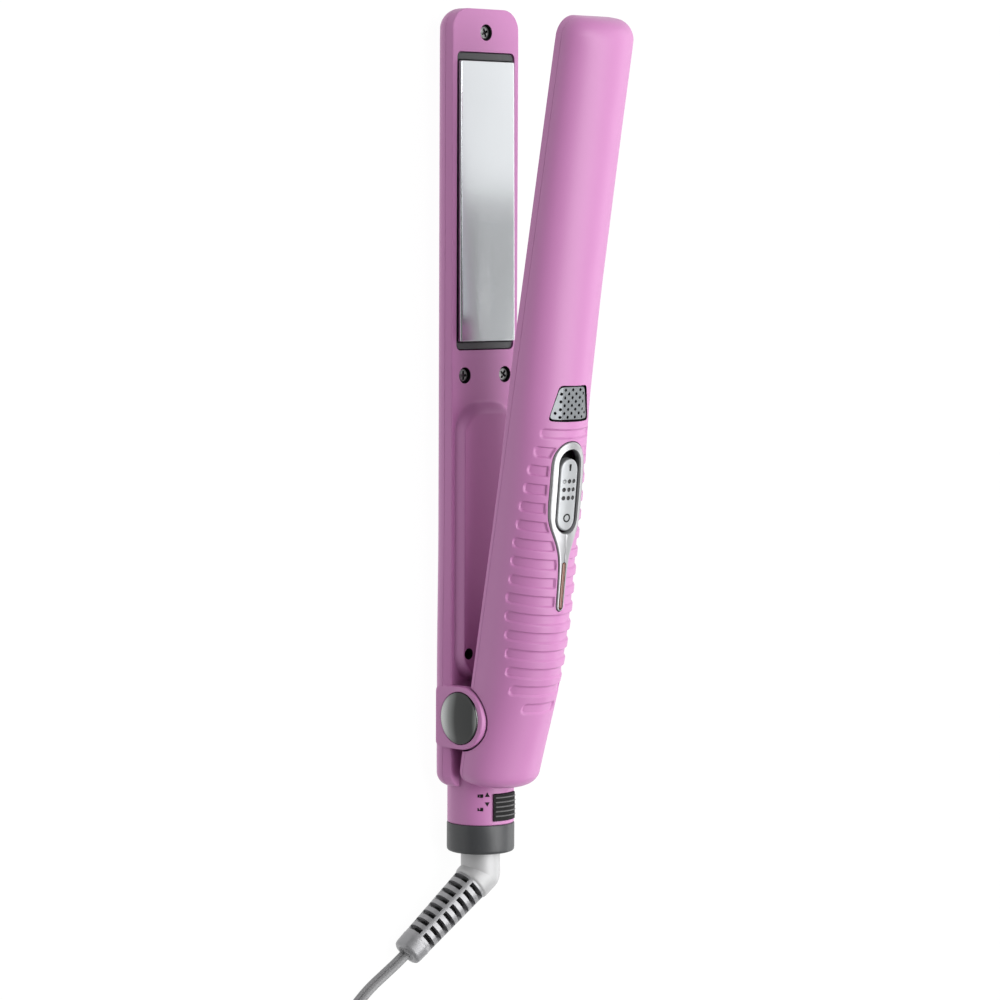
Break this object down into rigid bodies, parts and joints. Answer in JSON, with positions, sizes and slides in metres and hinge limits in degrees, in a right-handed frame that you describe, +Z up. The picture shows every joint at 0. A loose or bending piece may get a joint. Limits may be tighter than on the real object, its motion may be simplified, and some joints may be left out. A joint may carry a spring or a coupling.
{
  "type": "flat iron",
  "caption": "Hinged hair straightener with two ironing plates, a spring-open hinge, a slide switch, a lock button and a swivelling cord.",
  "frame": {"origin": "centre of the iron's footprint without its cord, on the surface it lies on", "axes": "+X from the tips towards the cord end, +Z up from the back of the lower arm, +Y across the arms"},
  "size_m": [0.4476, 0.0819, 0.0713],
  "materials": {
    "orchid_plastic": "soft satin, moulded in colour",
    "dark_plastic": "satin",
    "collar_plastic": "satin",
    "silver_plastic": "silver lacquer",
    "relief_plastic": "grey soft plastic",
    "cap_metal": "satin chrome",
    "plate_metal": "polished, ceramic coated",
    "steel": "zinc plated",
    "brass": "bare",
    "heater_ceramic": "heater slab in its film",
    "mica": "mica sheet",
    "amber_lens": "tinted clear plastic",
    "board": "circuit board",
    "lead_insulation": "silicone insulation",
    "cord_jacket": "satin vinyl"
  },
  "bodies": {
    "lower_arm": {"lower_shell": "orchid_plastic", "lower_cover": "orchid_plastic", "lower_plate_carrier": "dark_plastic", "lower_insulator": "mica", "lower_heater": "heater_ceramic", "lower_plate": "plate_metal", "thermal_fuse": "heater_ceramic", "lower_screws": "steel", "deep_screws": "steel", "lower_leads": "lead_insulation", "hinge_pin": "steel", "front_pivot_cap": "cap_metal", "rear_pivot_cap": "cap_metal", "hinge_spring": "steel", "collar_ring": "collar_plastic", "contact_brushes": "brass", "power_cord": "cord_jacket", "cord_hank": "cord_jacket", "cord_tie": "dark_plastic", "plug_body": "cord_jacket", "plug_blades": "brass"},
    "upper_arm": {"upper_shell": "orchid_plastic", "upper_cover": "orchid_plastic", "upper_plate_carrier": "dark_plastic", "upper_insulator": "mica", "upper_heater": "heater_ceramic", "upper_plate": "plate_metal", "upper_screws": "steel", "hinge_bushes": "brass", "upper_leads": "lead_insulation", "control_board": "board", "ion_module": "dark_plastic", "vent_grille": "silver_plastic", "switch_body": "dark_plastic", "switch_bezel": "silver_plastic", "indicator_lamp": "amber_lens", "indicator_lens": "amber_lens"},
    "power_switch": {"power_slider": "silver_plastic"},
    "arm_lock": {"lock_slider": "dark_plastic"},
    "cord_swivel": {"swivel_stem": "silver_plastic", "contact_rings": "brass", "strain_relief": "relief_plastic"}
  },
  "joints": [
    {"name": "arm_hinge", "type": "hinge", "parent": "lower_arm", "child": "upper_arm", "pos_m": [0.0937, 0, 0.0177], "axis": [0, -1, 0], "range_deg": [0, 11.25], "stiffness_Nm_per_rad": 1, "springref_deg": -17.19, "deforming": ["hinge_spring"]},
    {"name": "power_slide", "type": "slide", "parent": "upper_arm", "child": "power_switch", "axis": [-0.9957, 0, 0.0923], "range_m": [0, 0.0026]},
    {"name": "lock_slide", "type": "slide", "parent": "lower_arm", "child": "arm_lock", "axis": [-1, 0, 0], "range_m": [0, 0.0028]},
    {"name": "cord_turn", "type": "hinge", "parent": "lower_arm", "child": "cord_swivel", "pos_m": [0.13, 0, 0.0113], "axis": [-1, 0, 0], "continuous": true}
  ]
}
